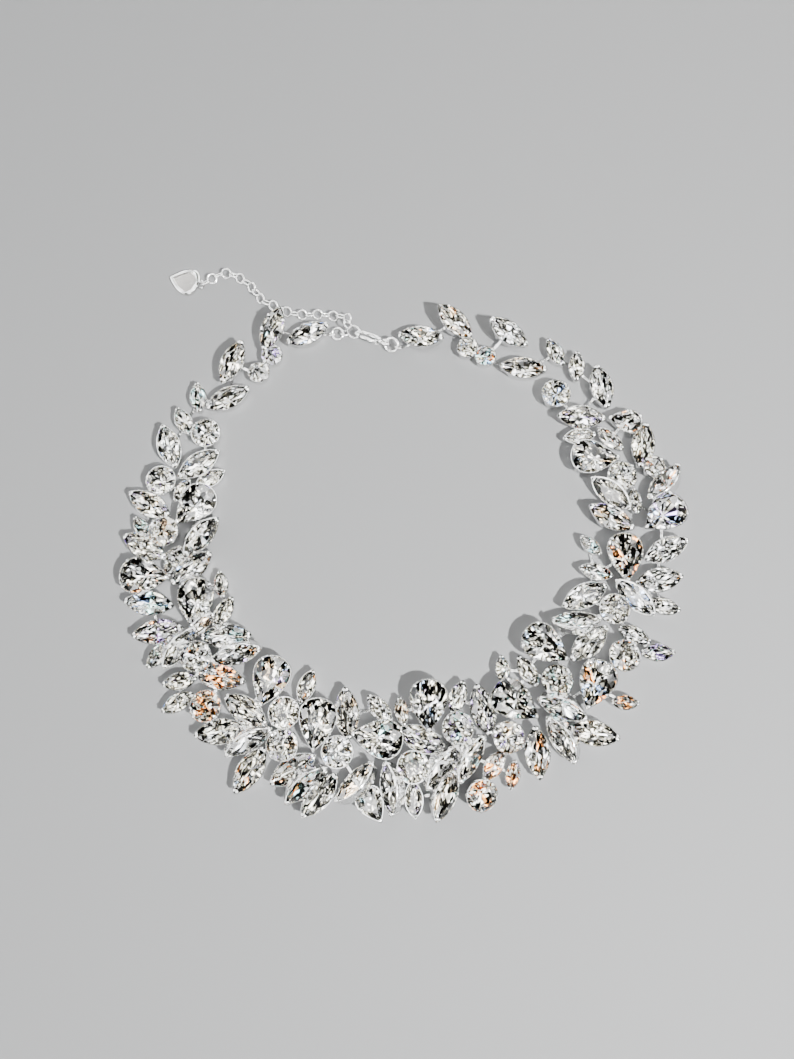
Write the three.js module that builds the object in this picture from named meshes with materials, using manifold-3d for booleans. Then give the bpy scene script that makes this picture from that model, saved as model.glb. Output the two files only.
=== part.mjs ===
// A crystal bib necklace lying flat: cut stones in claw settings, joined by thin wires into an open
// round, with a jump ring, a lobster clasp, an end ring, an extension chain and a drop-shaped tag.
import * as THREE from "three";
import { mergeVertices } from "three/addons/utils/BufferGeometryUtils.js";
import Module from "manifold-3d";

const wasm = await Module();
wasm.setup();

// Driving dimensions, in millimetres.
const neckRadius = 52; // centre of the neck opening to the inner edge of the band
const bandDepth = 40; // inner edge to outer edge of the band of stones
const storey = 3; // height by which a stone set over its neighbours is raised
const settingWall = 0.35; // metal round each stone
const stoneGap = 0.3; // clearance between a separate stone and its setting
const footShare = 0.84; // outline of a setting's foot as a share of its rim
const tableShare = 0.56; // outline of a stone's table as a share of its girdle
const girdleBand = 0.3; // height of the girdle
const solderWire = 0.7; // diameter of the wires that join the settings
const wireSides = 5; // of a ring's or a link's wire
const solderSides = 4; // of a wire between two settings
const wireHeight = 0.5; // height of a wire's middle above a setting's foot

// Each cut's outline over its setting, the setting's height, the crown and pavilion, and its corners.
const cuts = {
  pear: { long: 15, wide: 11, tall: 3.9, crown: 1.4, pavilion: 2.7, sides: 8 },
  smallPear: { long: 10.8, wide: 7.8, tall: 3.2, crown: 1.1, pavilion: 2.0, sides: 8 },
  navette: { long: 15.2, wide: 7.5, tall: 3.5, crown: 1.1, pavilion: 2.2, sides: 8 },
  midNavette: { long: 10.6, wide: 5.4, tall: 2.9, crown: 0.9, pavilion: 1.7, sides: 6 },
  smallNavette: { long: 8.6, wide: 4.5, tall: 2.6, crown: 0.8, pavilion: 1.5, sides: 6 },
  round: { long: 9.2, wide: 9.2, tall: 3.8, crown: 1.3, pavilion: 2.6, sides: 8 },
  smallRound: { long: 7, wide: 7, tall: 3.1, crown: 1.0, pavilion: 2.0, sides: 8 },
};

// Where each stone sits. at: degrees round the neck opening from the bottom centre, positive to the right.
// across: share of the band from its inner edge. heading: where the long axis or the pear's point aims,
// in degrees from +X. rise: share of a storey. lean: degrees by which the headed end is lifted.
// roll: degrees about the long axis. own: the stone is a separate piece.
const columns = ["cut", "at", "across", "heading", "rise", "lean", "roll", "own"];
const chart = {
  bottom: [
    ["navette", -12.6, 0.27, 95, 0, 0, 0],
    ["midNavette", -4.2, 0.205, 132, 0, 0, 0],
    ["smallNavette", 1.7, 0.22, 100, 0, 0, 0],
    ["pear", 9.0, 0.197, -90, 0.5, 0, 0, true],
    ["midNavette", 17.3, 0.19, 70, 0, 0, 0],
    ["navette", 6.2, 0.42, -23, 0, 0, 0],
    ["pear", -4.3, 0.405, 170, 0.2, 0, 0, true],
    ["round", 3.75, 0.6, 0, 0.3, 0, 0, true],
    ["navette", 9.9, 0.63, 53, 0, 0, 50],
    ["round", 15.1, 0.39, 0, 0.2, 0, 0, true],
    ["navette", -1.3, 0.74, 97, 0, 0, -50],
    ["smallPear", -4.3, 0.85, -60, 0.2, 0, 0, true],
    ["midNavette", 3.5, 0.815, 95, 0, 0, 0],
    ["navette", 9.5, 0.815, 68, 0, 0, 30],
    ["navette", -8.1, 0.71, 45, 0, 0, -50],
  ],
  lowerRight: [
    ["navette", 22.4, 0.33, 104, 0, 0, 0],
    ["pear", 30.3, 0.386, -35, 0.5, 0, 0, true],
    ["round", 25.1, 0.57, 0, 0.2, 0, 0, true],
    ["navette", 28.9, 0.755, 93, 0, 0, 0],
    ["navette", 34, 0.77, -60, 0, 0, 50],
    ["smallNavette", 22.8, 0.815, 79, 0, 0, 0],
    ["midNavette", 20.1, 0.71, 55, 0, 0, 0],
    ["round", 16, 0.868, -50, 0.1, -20, 0, true],
    ["navette", 16.1, 0.62, 60, 0, 0, 45],
    ["smallNavette", 32.2, 0.147, 95, 0, 0, 0],
    ["midNavette", 37.5, 0.26, 121, 0, 0, 0],
    ["round", 41.5, 0.44, 0, 0.2, 0, 0, true],
    ["navette", 38, 0.61, -23, 0, 0, 45],
  ],
  right: [
    ["pear", 45.6, 0.211, -35, 0.4, 0, 0, true],
    ["navette", 56.4, 0.27, 3, 0, 0, -45],
    ["navette", 53.2, 0.44, 41, 0.3, 0, 0],
    ["round", 55.4, 0.69, 0, 0.5, 0, 0, true],
    ["midNavette", 59.7, 0.89, 0, 0, 0, 0],
    ["midNavette", 60.5, 0.69, -26, 0, 0, 0],
    ["pear", 46.8, 0.65, 246, 0.3, 0, 0, true],
    ["smallNavette", 48.3, 0.89, -3, 0, 0, 0],
    ["navette", 39.9, 0.875, -11, 0, 0, 0],
  ],
  upperRight: [
    ["navette", 86.2, 0.315, -29, 0.4, 0, 0],
    ["pear", 87.5, 0.705, 215, 0.4, 0, 0, true],
    ["smallNavette", 77.9, 0.19, -44, 0, 0, 0],
    ["pear", 76.3, 0.445, 270, 0.4, 0, 0, true],
    ["navette", 80, 0.735, 24, 0, 0, 20],
    ["navette", 73.4, 0.72, 10, 0, 0, 0],
    ["midNavette", 68.6, 0.805, -15, 0, 0, 0],
    ["navette", 67.8, 0.585, -45, 0, 0, 45],
    ["round", 63.5, 0.48, 0, 0.2, 0, 0, true],
    ["navette", 63.4, 0.25, 25, 0, 0, 0],
    ["midNavette", 70.9, 0.27, -15, 0, 0, 0],
    ["pear", 103.6, 0.26, -3, 0.3, 0, 0, true],
    ["round", 97.3, 0.43, 0, 0.2, 0, 0, true],
    ["navette", 92.8, 0.32, -42, 0, 0, 45],
    ["navette", 94.9, 0.73, 48, 0, 0, -45],
    ["smallRound", 98.5, 0.69, 0, 0.3, 0, 0],
    ["navette", 103.9, 0.655, 79, 0, 0, 0],
    ["smallNavette", 91, 0.51, 95, 0, 0, 0],
    ["midNavette", 134.7, 0.48, 115, 0, 0, 0],
    ["midNavette", 128.4, 0.52, 85, 0, 0, 0],
    ["navette", 120.5, 0.565, 100, 0.2, 0, 0],
    ["round", 125.5, 0.235, 0, 0.1, 0, 0, true],
    ["navette", 115.7, 0.29, -4, 0, 0, 20],
    ["midNavette", 111.1, 0.22, 8, 0, 0, 0],
    ["midNavette", 107.6, 0.435, -45, 0, 0, 0],
    ["smallPear", 110.6, 0.595, 170, 0.2, 0, 0, true],
  ],
  topRight: [
    ["navette", 171.8, 0.085, -8, 0, 8, 0, true],
    ["navette", 162.4, 0.255, -43, 0.4, -12, 0, true],
    ["smallRound", 156.1, 0.11, 0, 0, 0, 0],
    ["smallRound", 149.7, 0.11, 0, 0, 0, 0],
    ["navette", 147.4, 0.355, -36, 0.4, -8, 0, true],
    ["navette", 137.9, 0.2, -5, 0, 0, 0, true],
  ],
  topLeft: [
    ["navette", -153.6, 0.27, 26, 0, 0, 0, true],
    ["navette", -145.5, 0.417, 68, 0.3, 15, 0, true],
    ["smallRound", -141.4, 0.265, 0, 0, 0, 0],
    ["smallRound", -135.1, 0.22, 0, 0, 0, 0],
    ["navette", -131.8, 0.41, 66, 0.4, 8, 0, true],
    ["navette", -123.4, 0.26, 27, 0, 0, 0, true],
    ["midNavette", -119.4, 0.465, 98, 0, 0, 0],
    ["midNavette", -112.2, 0.47, 119, 0, 0, 0],
    ["round", -111.2, 0.26, 0, 0.1, 0, 0, true],
  ],
  upperLeft: [
    ["navette", -104.7, 0.487, 110, 0.2, 0, 0],
    ["navette", -102, 0.23, 35, 0, 0, 0],
    ["round", -95.9, 0.48, 0, 0.2, 0, 0, true],
    ["smallNavette", -94.1, 0.32, 60, 0, 0, 0],
    ["midNavette", -98.2, 0.125, 30, 0, 0, 0],
    ["navette", -90, 0.55, -31, 0, 0, 0],
    ["pear", -89.3, 0.207, 228, 0.3, 0, 0, true],
    ["smallNavette", -84.7, 0.61, -55, 0, 0, 0],
    ["round", -82.9, 0.44, 0, 0.2, 0, 0, true],
    ["navette", -80.1, 0.59, -28, 0, 0, 0],
    ["navette", -80, 0.16, 50, 0, 0, 45],
    ["midNavette", -76.6, 0.345, 12, 0, 0, 0],
    ["navette", -72, 0.28, 40, 0, 0, 0],
    ["smallNavette", -74.8, 0.42, 80, 0, 0, 0],
    ["pear", -73.3, 0.62, -5, 0.3, 0, 0, true],
  ],
  left: [
    ["navette", -67.4, 0.65, -6, 0, 0, 0],
    ["smallNavette", -64.7, 0.12, 100, 0, 0, 0],
    ["pear", -62.7, 0.335, 268, 0.4, 0, 0, true],
    ["midNavette", -57.1, 0.195, 60, 0, 0, 0],
    ["navette", -61, 0.67, 10, 0, 0, 0],
    ["midNavette", -57.1, 0.377, 42, 0, 0, 55],
    ["navette", -51, 0.27, 2, 0.2, 0, 0],
    ["midNavette", -56.7, 0.735, 50, 0, 0, 0],
    ["navette", -55.1, 0.58, 53, 0, 0, 50],
    ["round", -51.6, 0.525, 0, 0.2, 0, 0, true],
    ["navette", -45.3, 0.3, 15, 0, 0, 45],
    ["navette", -44.3, 0.49, -10, 0, 0, 0],
    ["midNavette", -49.7, 0.72, 12, 0, 0, 0],
    ["midNavette", -46.7, 0.825, 31, 0, 0, 0],
    ["round", -42.1, 0.7, 0, 0.2, 0, 0, true],
  ],
  lowerLeft: [
    ["pear", -34.2, 0.285, 252, 0.5, 0, 0, true],
    ["navette", -35, 0.545, -34, 0, 0, 0],
    ["round", -27.1, 0.417, 0, 0.3, 0, 0, true],
    ["midNavette", -25.2, 0.187, 70, 0, 0, 0],
    ["pear", -18.8, 0.4, 263, 0.5, 0, 0, true],
    ["round", -12.7, 0.54, 0, 0.2, 0, 0, true],
    ["round", -24.3, 0.618, 0, 0.2, 0, 0, true],
    ["navette", -30.6, 0.71, 30, 0, 0, 50],
    ["navette", -36.6, 0.765, 8, 0, 0, 0],
    ["navette", -27.8, 0.867, 57, 0, 0, 0],
    ["navette", -20.4, 0.742, 32, 0, 0, 0],
    ["navette", -16.9, 0.811, 40, 0, 0, 45],
    ["navette", -14.1, 0.848, 51, 0, 0, 15],
  ],
};

// Wires that cross open gaps, from one row of the chart to another: a stretch and the row's number in it.
const openWires = [
  ["topRight 1", "topRight 3"],
  ["topRight 6", "upperRight 22"],
  ["topLeft 6", "topLeft 9"],
  ["lowerRight 7", "lowerRight 4"],
];

// The lobster clasp, along its own length from the middle of its eye to its nose.
const eyeAt = -176.6; // degrees round the neck opening
const eyeAcross = 0.043;
const claspHeading = 159.5;
const claspRoll = 40;
const claspHeight = 2.3; // of its middle line over the surface
const eyeOuter = 3.3;
const eyeHole = 1.9;
const claspLength = 10.6; // middle of the eye to the nose
const claspWidth = 4.6;
const claspThickness = 1.3;
const claspWall = 1.1;
const claspNeck = 1.9; // middle of the eye to the near end of the hook's opening
const leverGap = 0.3;
const leverPivot = 0.27; // share of the clasp's length where the lever turns
const leverTip = 0.76; // share of the clasp's length where the lever meets the hook
const leverThickness = 0.85;
const leverDepth = 0.8; // share of the clasp's thickness
const leverInset = 0.1; // from the clasp's outer edge
const leverSwing = 22; // degrees
const nubFrom = 0.95; // the thumb nub, from the lever's pivot
const nubTo = 1.95;
const nubEnd = 2.5;
const nubHeight = 0.6;
const eyeSides = 10; // corners of the clasp's eye
const hookSides = 18; // corners of the clasp's oval

// Rings of wire. A roll is in degrees about the ring's own way.
const jumpRing = { outer: 5, wire: 0.8, roll: -40 };
const strandLoop = { outer: 3, wire: 0.6, roll: -50 };
const hookLink = { outer: 4.6, wire: 0.55 };
const tieLink = { outer: 3.5, wire: 0.55, roll: 35 };
const endRing = { outer: 4.2, wire: 0.65, roll: -25 };
const endLoop = { outer: 3, wire: 0.6, roll: 50 };
const chainLink = { outer: 3.5, wire: 0.55, roll: 45 };
const tagEar = { outer: 3, wire: 0.7 };
const ringGap = 0.3; // between separate rings that hold each other
const hookPlay = 0.5; // between the link in the hook and the inside of the nose
const linkBite = 0.12; // how far one fused link sinks into the next
const ringSteps = 10;

// The chain's way from its first link to the tag, in millimetres from the first link's middle.
const chainRoute = [
  [0, 0], [-0.3, 2.7], [-4.6, 4.1], [-9.9, 4.7], [-15.2, 4.6], [-19.7, 5.6], [-24.1, 7.8], [-27.7, 9.6],
  [-30.1, 12.6], [-32.4, 15.4], [-35.4, 17.6], [-39.4, 19.4], [-42.8, 18.8], [-45.6, 16.8], [-48.2, 15.4],
];
const tieTurn = -27; // degrees round the link in the hook, from its far side, where the tie link holds
const chainTurn = 35; // and where the chain's first link holds

// The drop-shaped tag.
const tagLong = 10;
const tagWide = 9.4;
const tagThickness = 1.3;
const tagRim = 1.3;
const tagRecess = 0.5;
const tagHeading = 164;
const tagSides = 16;
const earBite = 0.4; // how far the tag's edge reaches into its ear's ring

// Finishes.
const crystal = { color: 0xdfe6ec, roughness: 0.05, metalness: 0.1 };
const silver = { color: 0xd4d6d8, roughness: 0.2, metalness: 0.95 };

// Closed mesh data to a solid, and back to a geometry.
function solidFrom(positions, triangles) {
  const mesh = new wasm.Mesh({
    numProp: 3,
    vertProperties: new Float32Array(positions),
    triVerts: new Uint32Array(triangles),
  });
  return new wasm.Manifold(mesh);
}

function solidFromGeometry(geometry) {
  const bare = geometry.clone();
  bare.deleteAttribute("normal");
  bare.deleteAttribute("uv");
  const merged = mergeVertices(bare, 1e-4);
  return solidFrom(merged.attributes.position.array, merged.index.array);
}

function geometryFrom(solid) {
  const mesh = solid.getMesh();
  const geometry = new THREE.BufferGeometry();
  geometry.setAttribute("position", new THREE.BufferAttribute(new Float32Array(mesh.vertProperties), 3));
  geometry.setIndex(new THREE.BufferAttribute(new Uint32Array(mesh.triVerts), 1));
  geometry.computeVertexNormals();
  return geometry;
}

function joined(solids) {
  return solids.reduce((sum, next) => sum.add(next));
}

// Chips that a pocket cuts loose are left out: the setting is the largest piece.
function wholePiece(solid) {
  const pieces = solid.decompose();
  return pieces.reduce((best, next) => (next.volume() > best.volume() ? next : best));
}

// A place in the band, in millimetres from the centre of the neck opening.
function bandPlace(at, across) {
  const angle = THREE.MathUtils.degToRad(at);
  const radius = neckRadius + bandDepth * across;
  return new THREE.Vector2(radius * Math.sin(angle), -radius * Math.cos(angle));
}

// One corner of a cut's outline, from -1 to 1 along and across, with a pear's point at +1.
function outlinePoint(cut, turn) {
  const along = Math.cos(turn);
  const side = Math.sin(turn);
  if (cut.endsWith("avette")) {
    const navetteHollow = 0.8; // draws the sides in towards the points
    return [along, side * Math.abs(side) ** navetteHollow];
  }
  if (cut === "pear" || cut === "smallPear") {
    const pearFullness = 1.3; // brings the widest part up to the full width
    return [along, side * Math.abs(Math.sin(turn / 2)) * pearFullness];
  }
  return [along, side];
}

// A ring of corners at one height. A grown outline is wider all round by the growth.
function outlineRing(cut, share, height, growth = 0, halfStep = false) {
  const { long, wide, sides } = cuts[cut];
  const ring = [];
  for (let corner = 0; corner < sides; corner += 1) {
    const turn = ((corner + (halfStep ? 0.5 : 0)) / sides) * 2 * Math.PI;
    const [along, side] = outlinePoint(cut, turn);
    ring.push([along * ((long / 2) * share + growth), side * ((wide / 2) * share + growth), height]);
  }
  return ring;
}

// A closed solid through rings of the same count from the bottom up. A ring of one point is a tip.
function loft(rings) {
  const positions = rings.flat(2);
  const triangles = [];
  const starts = [];
  let total = 0;
  for (const ring of rings) {
    starts.push(total);
    total += ring.length;
  }
  for (let level = 0; level < rings.length - 1; level += 1) {
    const below = rings[level].length;
    const above = rings[level + 1].length;
    const count = Math.max(below, above);
    for (let i = 0; i < count; i += 1) {
      const j = (i + 1) % count;
      const lowNow = starts[level] + (below > 1 ? i : 0);
      const lowNext = starts[level] + (below > 1 ? j : 0);
      const highNow = starts[level + 1] + (above > 1 ? i : 0);
      const highNext = starts[level + 1] + (above > 1 ? j : 0);
      if (below > 1) {
        triangles.push(lowNow, lowNext, highNow);
      }
      if (above > 1) {
        triangles.push(lowNext, highNext, highNow);
      }
    }
  }
  const foot = rings[0].length;
  for (let i = 1; i < foot - 1; i += 1) {
    triangles.push(starts[0], starts[0] + i + 1, starts[0] + i);
  }
  const head = starts[rings.length - 1];
  for (let i = 1; i < rings[rings.length - 1].length - 1; i += 1) {
    triangles.push(head, head + i, head + i + 1);
  }
  return solidFrom(positions, triangles);
}

// A stone's outline as a share of its setting's rim.
function stoneShare(cut, clearance) {
  const { wide } = cuts[cut];
  return (wide - 2 * (settingWall + clearance)) / wide;
}

// A cut stone: culet, girdle, a crown of kite facets and a table.
function stoneSolid(cut, growth) {
  const { tall, crown, pavilion } = cuts[cut];
  const share = stoneShare(cut, stoneGap);
  const low = tall - girdleBand - growth;
  const high = tall + growth;
  const culetGrowth = 1.5; // a grown stone's tip moves further than its slanting sides
  return loft([
    [[0, 0, tall - girdleBand - pavilion - growth * culetGrowth]],
    outlineRing(cut, share, low, growth),
    outlineRing(cut, share, high, growth),
    outlineRing(cut, share * tableShare, tall + crown + growth, growth, true),
  ]);
}

// A setting for a separate stone: a solid cup, later cut by the stone's clearance.
function cupSolid(cut, growth) {
  const { tall } = cuts[cut];
  const rim = tall - girdleBand / 2 + growth;
  return loft([outlineRing(cut, footShare, -growth, growth), outlineRing(cut, 1, rim, growth)]);
}

// A setting fused with its stone.
function setStoneSolid(cut, growth) {
  const { tall, crown } = cuts[cut];
  return loft([
    outlineRing(cut, footShare, -growth, growth),
    outlineRing(cut, 1, tall, growth),
    outlineRing(cut, tableShare, tall + crown + growth, growth, true),
  ]);
}

// The turn and place of a row's setting, lifted so that its lowest corner is at its rise.
function seatMatrix(row) {
  const place = bandPlace(row.at, row.across);
  const turn = new THREE.Matrix4().makeRotationZ(THREE.MathUtils.degToRad(row.heading));
  turn.multiply(new THREE.Matrix4().makeRotationY(-THREE.MathUtils.degToRad(row.lean)));
  turn.multiply(new THREE.Matrix4().makeRotationX(THREE.MathUtils.degToRad(row.roll)));
  const { tall } = cuts[row.cut];
  turn.multiply(new THREE.Matrix4().makeTranslation(0, 0, -tall));
  const corners = [...outlineRing(row.cut, footShare, 0), ...outlineRing(row.cut, 1, tall)];
  const heights = corners.map((corner) => new THREE.Vector3(...corner).applyMatrix4(turn).z);
  const lift = row.rise * storey - Math.min(...heights);
  return new THREE.Matrix4().makeTranslation(place.x, place.y, lift).multiply(turn);
}

function moved(solid, matrix) {
  return solid.transform(matrix.elements);
}

// A straight wire between two points, as a prism along Z turned into place.
function wireSolid(from, to, diameter) {
  const along = new THREE.Vector3().subVectors(to, from);
  const rod = new THREE.CylinderGeometry(diameter / 2, diameter / 2, along.length(), solderSides);
  const turn = new THREE.Quaternion().setFromUnitVectors(new THREE.Vector3(0, 1, 0), along.normalize());
  const middle = new THREE.Vector3().addVectors(from, to).multiplyScalar(0.5);
  rod.applyMatrix4(new THREE.Matrix4().compose(middle, turn, new THREE.Vector3(1, 1, 1)));
  return solidFromGeometry(rod);
}

// A ring of round wire in the XY plane.
function ringSolid(ring) {
  const middle = ringReach(ring);
  const profile = [];
  for (let corner = 0; corner <= wireSides; corner += 1) {
    const turn = (corner / wireSides) * 2 * Math.PI;
    const radius = middle + (ring.wire / 2) * Math.cos(turn);
    profile.push(new THREE.Vector2(radius, (ring.wire / 2) * Math.sin(turn)));
  }
  const band = new THREE.LatheGeometry(profile, ringSteps);
  band.rotateX(Math.PI / 2);
  return solidFromGeometry(band);
}

// A ring's middle to the middle of its wire.
function ringReach(ring) {
  return (ring.outer - ring.wire) / 2;
}

// A ring in its place: the way it is pulled in the plan, and its roll about that way.
function placedRing(ring, middle, way, roll) {
  const matrix = new THREE.Matrix4().makeTranslation(middle.x, middle.y, middle.z);
  matrix.multiply(new THREE.Matrix4().makeRotationZ(way));
  matrix.multiply(new THREE.Matrix4().makeRotationX(THREE.MathUtils.degToRad(roll)));
  return moved(ringSolid(ring), matrix);
}

// The middle of a ring that hangs in another one, pulled along a way in the plan.
function linkedMiddle(from, held, next, way, gap, height) {
  const distance = ringReach(held) + ringReach(next) - (held.wire + next.wire) / 2 - gap;
  return new THREE.Vector3(from.x + distance * Math.cos(way), from.y + distance * Math.sin(way), height);
}

function wayBetween(from, to) {
  return Math.atan2(to.y - from.y, to.x - from.x);
}

// The chart's rows as objects, each with its stretch, its number and its seat.
const rows = [];
for (const [stretch, entries] of Object.entries(chart)) {
  entries.forEach((entry, index) => {
    const row = Object.fromEntries(columns.map((name, column) => [name, entry[column]]));
    row.place = `${stretch} ${index + 1}`;
    row.matrix = seatMatrix(row);
    row.seat = new THREE.Vector3(0, 0, wireHeight).applyMatrix4(row.matrix);
    row.solid = seatSolid(row, 0);
    rows.push(row);
  });
}

// Settings that already meet are soldered to each other. Each group that stands alone is joined by a wire
// to the nearest setting of the work so far.
const solderMeet = 0.1; // shared volume, in cubic millimetres, from which two settings hold each other

function settingsNear(one, other) {
  const reach = (cuts[one.cut].long + cuts[other.cut].long) / 2;
  return one.seat.distanceTo(other.seat) <= reach;
}

function settingsMeet(one, other) {
  return settingsNear(one, other) && one.solid.intersect(other.solid).volume() > solderMeet;
}

function joiningWires(sideRows) {
  const done = [];
  const waiting = [...sideRows];
  const wires = [];
  const take = (row) => {
    const queue = [row];
    while (queue.length > 0) {
      const next = queue.pop();
      if (!waiting.includes(next)) {
        continue;
      }
      waiting.splice(waiting.indexOf(next), 1);
      done.push(next);
      queue.push(...waiting.filter((other) => settingsMeet(next, other)));
    }
  };
  take(sideRows[0]);
  while (waiting.length > 0) {
    let best = null;
    for (const from of done) {
      for (const to of waiting) {
        const distance = from.seat.distanceTo(to.seat);
        if (best === null || distance < best.distance) {
          best = { from, to, distance };
        }
      }
    }
    wires.push([best.from.seat, best.to.seat]);
    take(best.to);
  }
  return wires;
}

function rowAt(place) {
  return rows.find((row) => row.place === place);
}

const leftRows = rows.filter((row) => row.at < 0);
const rightRows = rows.filter((row) => row.at >= 0);
const crossing = openWires.map(([from, to]) => [rowAt(from), rowAt(to)]);
const leftWires = joiningWires(leftRows);
const rightWires = joiningWires(rightRows);
for (const [from, to] of crossing) {
  (from.at < 0 ? leftWires : rightWires).push([from.seat, to.seat]);
}

// The clasp's own frame: X from the eye to the nose, Z through its thickness.
const eyePlace = bandPlace(eyeAt, eyeAcross);
const claspMatrix = new THREE.Matrix4().makeTranslation(eyePlace.x, eyePlace.y, claspHeight);
claspMatrix.multiply(new THREE.Matrix4().makeRotationZ(THREE.MathUtils.degToRad(claspHeading)));
claspMatrix.multiply(new THREE.Matrix4().makeRotationX(THREE.MathUtils.degToRad(claspRoll)));

const cutThrough = 3; // thicknesses of a plate, for a cut that passes right through it

// A flat plate with holes, centred on its thickness.
function plateSolid(outline, holes, thickness) {
  const shape = new THREE.Shape(outline);
  for (const hole of holes) {
    shape.holes.push(new THREE.Path(hole));
  }
  const plate = new THREE.ExtrudeGeometry(shape, { depth: thickness, bevelEnabled: false });
  plate.translate(0, 0, -thickness / 2);
  return solidFromGeometry(plate);
}

function ovalPoints(centreX, halfLong, halfWide, count) {
  const points = [];
  for (let corner = 0; corner < count; corner += 1) {
    const turn = (corner / count) * 2 * Math.PI;
    points.push(new THREE.Vector2(centreX + halfLong * Math.cos(turn), halfWide * Math.sin(turn)));
  }
  return points;
}

// The lever: a bar from its pivot to the hook's tip, with a thumb nub on its outer side.
const pivotX = claspLength * leverPivot;
const tipX = claspLength * leverTip;
const leverY = (claspWidth - leverThickness) / 2 - leverInset;

function leverPlate(growth, thickness) {
  const half = leverThickness / 2 + growth;
  const root = pivotX - half;
  const outline = [
    [root, leverY - half],
    [tipX + growth, leverY - half],
    [tipX + growth, leverY + half / 2],
    [pivotX + nubEnd, leverY + half],
    [pivotX + nubTo, leverY + half + nubHeight],
    [pivotX + nubFrom, leverY + half + nubHeight],
    [root, leverY + half],
  ];
  return plateSolid(outline.map((corner) => new THREE.Vector2(...corner)), [], thickness);
}

// The room that the lever needs, at rest and as it swings in.
function leverSweep() {
  const stops = [0, 0.25, 0.5, 0.75, 1];
  const plate = leverPlate(leverGap, claspThickness * cutThrough);
  return joined(
    stops.map((share) => {
      const turn = new THREE.Matrix4().makeTranslation(pivotX, leverY, 0);
      turn.multiply(new THREE.Matrix4().makeRotationZ(-THREE.MathUtils.degToRad(leverSwing * share)));
      turn.multiply(new THREE.Matrix4().makeTranslation(-pivotX, -leverY, 0));
      return moved(plate, turn);
    }),
  );
}

const hookHalf = (claspLength - claspNeck + claspWall) / 2;
const hookMiddle = claspLength - hookHalf;

function claspBodySolid() {
  const outer = ovalPoints(hookMiddle, hookHalf, claspWidth / 2, hookSides);
  const inner = ovalPoints(hookMiddle, hookHalf - claspWall, claspWidth / 2 - claspWall, hookSides);
  const hook = plateSolid(outer, [inner], claspThickness);
  const eye = plateSolid(ovalPoints(0, eyeOuter / 2, eyeOuter / 2, eyeSides), [], claspThickness);
  const hole = plateSolid(ovalPoints(0, eyeHole / 2, eyeHole / 2, eyeSides), [], claspThickness * cutThrough);
  const body = joined([hook, eye]).subtract(hole).subtract(leverSweep());
  return moved(wholePiece(body), claspMatrix);
}

// The jump ring runs through the clasp's eye and through the loop at the end of the right strand.
const claspWay = THREE.MathUtils.degToRad(claspHeading);
const jumpMiddle = new THREE.Vector3(-ringReach(jumpRing), 0, 0).applyMatrix4(claspMatrix);
const strandSeat = rowAt("topRight 1").seat;
const strandWay = claspWay - Math.PI;
const strandLoopMiddle = linkedMiddle(jumpMiddle, jumpRing, strandLoop, strandWay, ringGap, jumpMiddle.z);

// The link round the hook's nose, then the tie link, the end ring and the loop of the left strand.
const nosePull = claspLength - claspWall - hookPlay - hookLink.wire / 2 + ringReach(hookLink);
const hookLinkMatrix = claspMatrix.clone();
hookLinkMatrix.multiply(new THREE.Matrix4().makeTranslation(nosePull, 0, 0));
hookLinkMatrix.multiply(new THREE.Matrix4().makeRotationX(Math.PI / 2));
const hookLinkMiddle = new THREE.Vector3().applyMatrix4(hookLinkMatrix);

function heldByHookLink(next, turnDegrees) {
  const turn = THREE.MathUtils.degToRad(turnDegrees);
  const distance = ringReach(hookLink) + ringReach(next) - (hookLink.wire + next.wire) / 2 + linkBite;
  const away = new THREE.Vector3(distance * Math.cos(turn), distance * Math.sin(turn), 0);
  return away.applyMatrix4(hookLinkMatrix);
}

const tieMiddle = heldByHookLink(tieLink, tieTurn);
const tieWay = wayBetween(hookLinkMiddle, tieMiddle);
const endSeat = rowAt("topLeft 1").seat;
const endWay = wayBetween(tieMiddle, endSeat);
const endRingMiddle = linkedMiddle(tieMiddle, tieLink, endRing, endWay, ringGap, tieMiddle.z);
const endLoopMiddle = linkedMiddle(endRingMiddle, endRing, endLoop, endWay, ringGap, tieMiddle.z);

// The extension chain: links at even steps along its way, each rolled across the one before.
const linkStep = 2 * ringReach(chainLink) - chainLink.wire + linkBite;
const linkTilt = THREE.MathUtils.degToRad(chainLink.roll);
const linkHeight = ringReach(chainLink) * Math.sin(linkTilt) + chainLink.wire / 2;
const firstLink = heldByHookLink(chainLink, chainTurn);
const chainWay = new THREE.CatmullRomCurve3(
  chainRoute.map(([x, y]) => new THREE.Vector3(firstLink.x + x, firstLink.y + y, 0)),
  false,
  "centripetal",
);
chainWay.arcLengthDivisions = 800; // steps in which its length is measured
const chainLength = chainWay.getLength();
const linkCount = Math.floor(chainLength / linkStep) + 1;
const droopLinks = 3; // links over which the chain comes down to the surface

function chainLinkPlace(number) {
  const share = (number * linkStep) / chainLength;
  const middle = chainWay.getPointAt(share);
  const tangent = chainWay.getTangentAt(share);
  const droop = Math.max(0, 1 - number / droopLinks);
  middle.z = linkHeight + (firstLink.z - linkHeight) * droop;
  const roll = number % 2 === 0 ? chainLink.roll : -chainLink.roll;
  return { middle, way: Math.atan2(tangent.y, tangent.x), roll };
}

function extensionChainSolid() {
  const links = [moved(ringSolid(hookLink), hookLinkMatrix)];
  links.push(placedRing(tieLink, tieMiddle, tieWay, tieLink.roll));
  for (let number = 0; number < linkCount; number += 1) {
    const { middle, way, roll } = chainLinkPlace(number);
    links.push(placedRing(chainLink, middle, way, roll));
  }
  return joined(links);
}

// The tag: a drop with a raised rim round a flat face, and an ear that holds the last link.
const lastLink = chainLinkPlace(linkCount - 1);
const tagWay = THREE.MathUtils.degToRad(tagHeading);
const earMiddle = linkedMiddle(lastLink.middle, chainLink, tagEar, lastLink.way, ringGap, linkHeight);

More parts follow.
